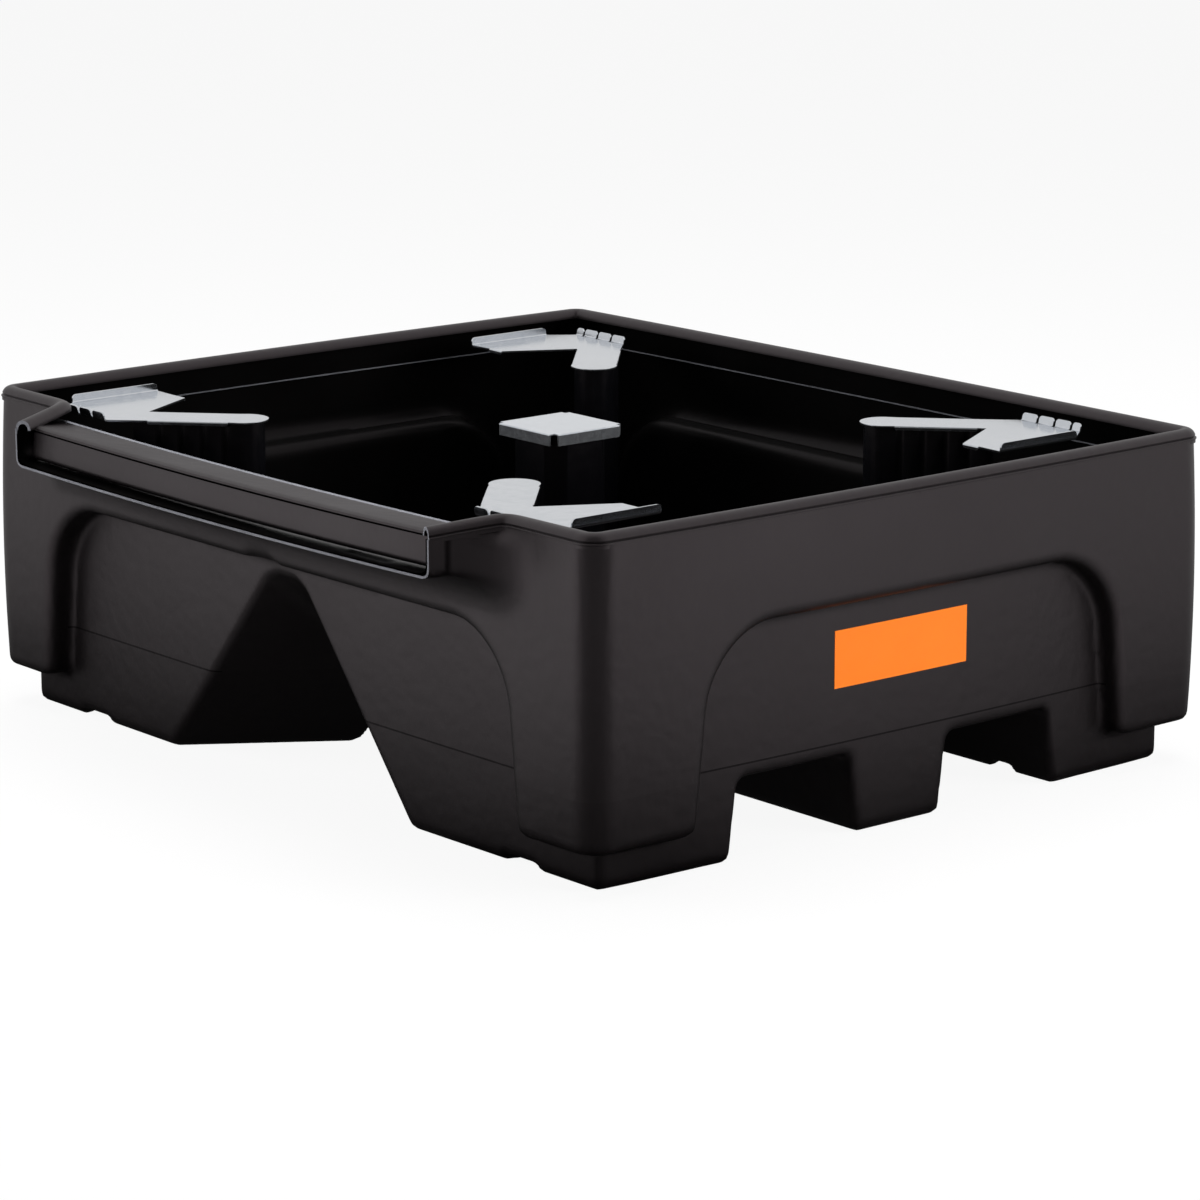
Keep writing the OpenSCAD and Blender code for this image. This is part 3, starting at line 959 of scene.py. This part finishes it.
# %% Roll the rim
bead_wall = 0.005
bead_leg = 0.0145
ridge_z = 0.0145
ridge_half = 0.0016
ridge_foot = -ridge_z - 4 * ridge_half
groove_in = 0.0016
bead_start = 18
bead_steps = 14
hollow_steps = 10
bead_outside = arc((0.0, -bead_half), bead_half, bead_start, 180, bead_steps)
bead_inside = arc((0.0, -bead_half), bead_half - bead_wall, 180, 0, hollow_steps)
ridge = [
    (bead_half - bead_wall, ridge_foot),
    (bead_half, ridge_foot),
    (bead_half, -ridge_z - ridge_half),
    (bead_half + ridge_proud, -ridge_z - ridge_half / 2),
    (bead_half + ridge_proud, -ridge_z + ridge_half / 2),
    (bead_half - groove_in, -ridge_z + 1.4 * ridge_half),
]
leg = [(-bead_half, -bead_leg), (bead_wall - bead_half, -bead_leg)]
bead_profile = ridge + bead_outside + leg + bead_inside
rim_mesh = bmesh.new()
for cap in sweep(rim_mesh, bead_profile, rim_places(bead_half, 0.0)):
    cap.material_index = 1
rim = new_object("tray_rim", rim_mesh, [tray_plastic, cut_and_highlight_plastic])
finish_piece(rim, "tray")

# %% [markdown]
# ## The ledge
# A thin pale line runs along the inside of the three plain walls, below the rim: the highlight on a small
# ledge. The material could draw it, but a thin strip on the rim's own path keeps its height everywhere and
# stands out a little. The strip wears the pale cut plastic, so its paleness is a painted highlight.

# %% Ledge inside the walls
ledge_below = 0.058
ledge_half = 0.0012
ledge_proud = 0.0036
ledge_from = -0.5
ledge_profile = [(0.0, ledge_half), (-ledge_proud, 0.0), (0.0, -ledge_half)]
ledge_places = [p for p in rim_places(wall_thickness, ledge_below) if p.translation.y > ledge_from]
ledge_mesh = bmesh.new()
sweep(ledge_mesh, ledge_profile, ledge_places)
# The pale cut plastic on this strip is a painted highlight along the ledge.
ledge = new_object("tray_ledge", ledge_mesh, [cut_and_highlight_plastic])
finish_piece(ledge, "tray")

# %% [markdown]
# ## The spout's panel and sill
# Behind the cut edge stands a panel with rounded lower and outer edges. A sill slopes up from it to a
# thin trimmed edge over the sump, and a narrow gap lies between the two.

# %% Panel and sill
panel_front = spout_front + 0.019
panel_top = rim_z - 0.030
panel_foot = spout_z + 0.009
panel_round = 0.010
panel_lean = 0.004
panel_return = 0.024
panel_edge = 0.004
panel_length = 0.493
sill_gap = 0.0035
sill_back = spout_bend.y + 0.004
sill_rise = rim_z - 0.029
sill_burr = 0.0032
sill_edge = 0.004
sill_under = 0.012
sill_tuck = 0.0015
nose_step = 0.001
nose_rise = 0.003
nose_run = 0.006
sag_steps = 12


def cheek_inside(depth):
    """Distance of a cheek's middle from the centre plane, at a distance from the front edge."""
    return spout_half + depth * cheek_line.x / cheek_line.y - wall_thickness / 2


def across_spout(half):
    """Places that face the front, on a sagging run across the spout."""
    places = []
    for i in range(sag_steps + 1):
        run = -1.0 + 2.0 * i / sag_steps
        middle = Vector((run * half, 0.0, spout_sag * (run * run - 1.0)))
        places.append(upright_place(middle, (0.0, -1.0)))
    return places


panel_profile = [(-panel_front - panel_lean, panel_top), (-panel_front, panel_foot + panel_round)]
panel_profile += arc((-panel_front - panel_round, panel_foot + panel_round), panel_round, -15, -90, 6)
panel_profile += [
    (-panel_front - panel_return, panel_foot),
    (-panel_front - panel_return, panel_foot + wall_thickness),
    (-panel_front - panel_lean - wall_thickness, panel_foot + panel_round),
    (-panel_front - panel_lean - wall_thickness, panel_top),
]
panel_mesh = bmesh.new()
sweep(panel_mesh, panel_profile, across_spout(panel_length))
end_verts = {v for v in panel_mesh.verts if abs(abs(v.co.x) - panel_length) < touching}
end_edges = [e for e in panel_mesh.edges if end_verts.issuperset(e.verts)]
front_edges = [e for e in end_edges if max(v.co.y for v in e.verts) < panel_front + 1.5 * panel_round]
soften(panel_mesh, front_edges, panel_edge)
panel = new_object("spout_panel", panel_mesh, [tray_plastic])
finish_piece(panel, "tray")

sill_front = panel_front + panel_lean - sill_tuck
sill_profile = [
    (-sill_front, panel_top + sill_gap),
    (-sill_front - nose_step, panel_top + sill_gap + nose_rise),
    (-sill_front - nose_run, panel_top + sill_gap + wall_thickness),
    (-sill_back + sill_burr, sill_rise),
    (-sill_back, sill_rise + sill_burr / 2),
    (-sill_back, sill_rise - sill_edge),
    (-sill_front - sill_under, panel_top + sill_gap),
]
sill_mesh = bmesh.new()
sweep(sill_mesh, sill_profile, across_spout(cheek_inside(0.0)))
for vert in sill_mesh.verts:
    vert.co.x *= cheek_inside(vert.co.y - spout_front) / cheek_inside(0.0)
sill_mesh.normal_update()
for face in sill_mesh.faces:
    if min(v.co.y for v in face.verts) > sill_back - 1.5 * sill_burr:
        face.material_index = 1
sill = new_object("spout_sill", sill_mesh, [tray_plastic, cut_and_highlight_plastic])
finish_piece(sill, "tray")

# %% [markdown]
# ## The posts
# Five black posts stand on the sump floor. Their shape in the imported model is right, so each look is a
# copy with its loose triangles merged, its flat faces joined and its hard edges eased.

# %% Ease the edges of a copied node
flat_angle = math.radians(0.5)
post_edge = 0.003


def eased_copy(name, node, width, materials):
    bm = bmesh.new()
    bm.from_mesh(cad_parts[node].data)
    bmesh.ops.remove_doubles(bm, verts=bm.verts, dist=touching)
    bmesh.ops.dissolve_limit(bm, angle_limit=flat_angle, verts=bm.verts, edges=bm.edges)
    hard = [e for e in bm.edges if e.is_manifold and e.calc_face_angle() > smooth_angle]
    soften(bm, hard, width, clamp=True)
    for face in bm.faces:
        face.material_index = 0
    return new_object(name, bm, materials)


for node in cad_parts:
    if node.startswith("post_"):
        post = eased_copy(node + "_look", node, post_edge, [post_plastic])
        finish_piece(post, node)

# %% [markdown]
# ## The corner supports
# Each support is cut from one galvanised sheet and folded. So the look is made the same way: an outline
# of the flat blank first, then the folds. The four are mirror images, but they lie loose, so each has
# strayed a little from its even place.

# %% Flat blank of a support
load_place = Vector((0.0, -0.033, 0.482))
stray = {
    "front_left": Vector((-0.012, 0.003, 0.0)),
    "front_right": Vector((-0.015, 0.008, 0.0)),
    "rear_left": Vector((-0.025, -0.014, 0.0)),
    "rear_right": Vector((-0.022, 0.012, 0.0)),
}
sheet_thickness = 0.003
arm_tip = Vector((0.298, 0.334))
arm_turn = math.radians(43)
arm_along = Vector((math.cos(arm_turn), math.sin(arm_turn)))
arm_across = Vector((arm_along.y, -arm_along.x))
arm_half = 0.037
lip_start, lip_end = 0.055, 0.179
junction = 0.193
tab_y = 0.527
tab_width = 0.030
tab_slot = 0.005
tab_count = 3
half_tab = 0.016
slot_depth = 0.004
flange_x = 0.603
flange_y = (0.486, 0.328)
inner_x = 0.526
inner_lip = 0.032


def on_arm(run, side):
    return arm_tip + arm_along * run + arm_across * (side * arm_half)


tab_run = (tab_y - arm_tip.y + arm_half * arm_across.y) / arm_along.y
tab_start = on_arm(tab_run, -1).x


def tab_ends():
    """Start and end of each tab along the edge."""
    ends = []
    for i in range(tab_count + 1):
        start = tab_start + i * (tab_width + tab_slot)
        ends.append((start, start + (tab_width if i < tab_count else half_tab)))
    return ends


def blank_outline():
    """Corners of the flat blank, in order, with the edges that will be folded named."""
    points = []
    for i, (start, end) in enumerate(tab_ends()):
        if i:
            points.append((None, Vector((start, tab_y - slot_depth))))
        points.append(("tab", Vector((start, tab_y))))
        points.append((None, Vector((end, tab_y))))
        if i < tab_count:
            points.append((None, Vector((end, tab_y - slot_depth))))
    points += [
        ("flange", Vector((flange_x, flange_y[0]))),
        (None, Vector((flange_x, flange_y[1]))),
        ("lip", Vector((inner_x + inner_lip, flange_y[1]))),
        (None, Vector((inner_x, flange_y[1]))),
        (None, on_arm(junction, 1)),
        ("lip", on_arm(lip_end, 1)),
        (None, on_arm(lip_start, 1)),
        ("tip", on_arm(0.0, 1)),
        (None, on_arm(0.0, -1)),
        ("lip", on_arm(lip_start, -1)),
        (None, on_arm(lip_end, -1)),
    ]
    return points


print("Blank of a support", len(blank_outline()), "corners")

# %% [markdown]
# ## Folding the sheet
# A press bends the tabs and the flange up and the lips down. Here the edge of each fold is drawn up or
# down, its corners are rounded and the bend itself gets a small radius. A Solidify modifier adds the
# thickness last, so it is even all over, as in real sheet.

# %% Fold a support
flange_rise = 0.012
tab_angle = math.radians(12)
tab_lean = math.tan(tab_angle) * flange_rise
lip_drop = 0.006
tab_round = 0.006
flange_round = 0.007
fold_round = 0.002
fold_steps = 4
tip_round = 0.999 * arm_half
tip_steps = 8
sheet_edge = 0.0006
sheet_flat = 0.0001


def fold(bm, edge, move):
    """Draw an edge of the sheet up or down, and return its two new corners."""
    grown = bmesh.ops.extrude_edge_only(bm, edges=[edge])["geom"]
    fresh = [part for part in grown if isinstance(part, bmesh.types.BMVert)]
    bmesh.ops.translate(bm, verts=fresh, vec=move)
    return fresh


def face_up(bm):
    """Turn the sheet so that its largest face looks up."""
    bmesh.ops.recalc_face_normals(bm, faces=bm.faces)
    if max(bm.faces, key=lambda f: f.calc_area()).normal.z < 0:
        bmesh.ops.reverse_faces(bm, faces=bm.faces)


def corner_name(right, rear):
    return ("rear" if rear else "front") + "_" + ("right" if right else "left")


def folded_support(right, rear):
    bm = bmesh.new()
    outline = blank_outline()
    corners = [bm.verts.new((p.x, p.y, 0.0)) for _, p in outline]
    plate = bm.faces.new(corners)
    if plate.normal.z < 0:
        plate.normal_flip()
    moves = {
        "tab": Vector((0.0, tab_lean, flange_rise)),
        "flange": Vector((0.0, 0.0, flange_rise)),
        "lip": Vector((0.0, 0.0, -lip_drop)),
    }
    radii = {"tab": tab_round, "flange": flange_round, "lip": lip_drop / 2}
    folds = []
    for i, (kind, _) in enumerate(outline):
        if kind in moves:
            edge = bm.edges.get((corners[i], corners[(i + 1) % len(corners)]))
            folds.append(edge)
            fresh = fold(bm, edge, moves[kind])
            soften(bm, fresh, radii[kind], fold_steps, "VERTICES")
        elif kind == "tip":
            tips = [corners[i], corners[i + 1]]
    soften(bm, tips, tip_round, tip_steps, "VERTICES")
    soften(bm, folds, fold_round)
    face_up(bm)
    flip = Vector((1 if right else -1, 1 if rear else -1, 1))
    bmesh.ops.scale(bm, vec=flip, verts=bm.verts)
    if right != rear:
        bmesh.ops.reverse_faces(bm, faces=bm.faces)
    bmesh.ops.translate(bm, vec=load_place + stray[corner_name(right, rear)], verts=bm.verts)
    return bm


def thicken_sheet(piece):
    thick = piece.modifiers.new("sheet", "SOLIDIFY")
    thick.thickness = sheet_thickness
    thick.offset = -1.0
    ease = piece.modifiers.new("sheared_edge", "BEVEL")
    ease.width = sheet_edge
    ease.segments = 2
    ease.limit_method = "ANGLE"
    ease.angle_limit = smooth_angle


for rear in (False, True):
    for right in (False, True):
        corner = corner_name(right, rear)
        support = new_object("support_" + corner + "_look", folded_support(right, rear), [zinc_steel])
        thicken_sheet(support)
        finish_piece(support, "support_" + corner, "support_" + corner, sheet_flat)

# %% [markdown]
# ## The centre cap
# A square plate with its four sides folded down over the centre post. The corners are notched, so the
# sides can be folded without tearing.

# %% Fold the cap
cap_low, cap_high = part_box("centre_cap")
cap_middle = (cap_low + cap_high) / 2
cap_half = (cap_high.x - cap_low.x) / 2
cap_notch = 0.010
cap_skirt = cap_high.z - cap_low.z
cap_mesh = bmesh.new()
run = cap_half - cap_notch
cap_points = []
for i in range(4):
    turn = Matrix.Rotation(i * math.pi / 2, 3, "Z")
    for corner in ((cap_half, -run, 0.0), (cap_half, run, 0.0), (run, run, 0.0)):
        cap_points.append(turn @ Vector(corner))
cap_corners = [cap_mesh.verts.new(p) for p in cap_points]
cap_mesh.faces.new(cap_corners)
cap_folds = [cap_mesh.edges.get((cap_corners[i], cap_corners[i + 1])) for i in range(0, len(cap_corners), 3)]
for edge in cap_folds:
    fold(cap_mesh, edge, Vector((0.0, 0.0, -cap_skirt)))
soften(cap_mesh, cap_folds, fold_round)
face_up(cap_mesh)
bmesh.ops.translate(cap_mesh, vec=(cap_middle.x, cap_middle.y, cap_high.z), verts=cap_mesh.verts)
cap = new_object("centre_cap_look", cap_mesh, [cap_steel])
thicken_sheet(cap)
finish_piece(cap, "centre_cap", "cap", sheet_flat)

# %% [markdown]
# ## The label
# A plain film on the recess panel of the right side. It is a grid, bent to the panel's own bow, with its
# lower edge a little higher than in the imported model.

# %% Label
label_low, label_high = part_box("side_label")
label_trim = 0.002
label_steps = 24
label_low.z += label_trim
label_film_thickness = 0.0005
label_mesh = bmesh.new()
bmesh.ops.create_grid(label_mesh, x_segments=1, y_segments=label_steps, size=0.5)
label_middle = (label_low + label_high) / 2
for vert in label_mesh.verts:
    side = label_middle.y + vert.co.y * (label_high.y - label_low.y)
    up = label_middle.z + vert.co.x * (label_high.z - label_low.z)
    out = panel_half.x + bowed(side, panel_half.y, panel_bow.x)
    vert.co = (out + label_film_thickness, side, up)
bmesh.ops.recalc_face_normals(label_mesh, faces=label_mesh.faces)
if next(iter(label_mesh.faces)).normal.x < 0:
    bmesh.ops.reverse_faces(label_mesh, faces=label_mesh.faces)
label = new_object("side_label_look", label_mesh, [label_film])
film = label.modifiers.new("film", "SOLIDIFY")
film.thickness = 2 * label_film_thickness
film.offset = -1.0
finish_piece(label, "side_label")
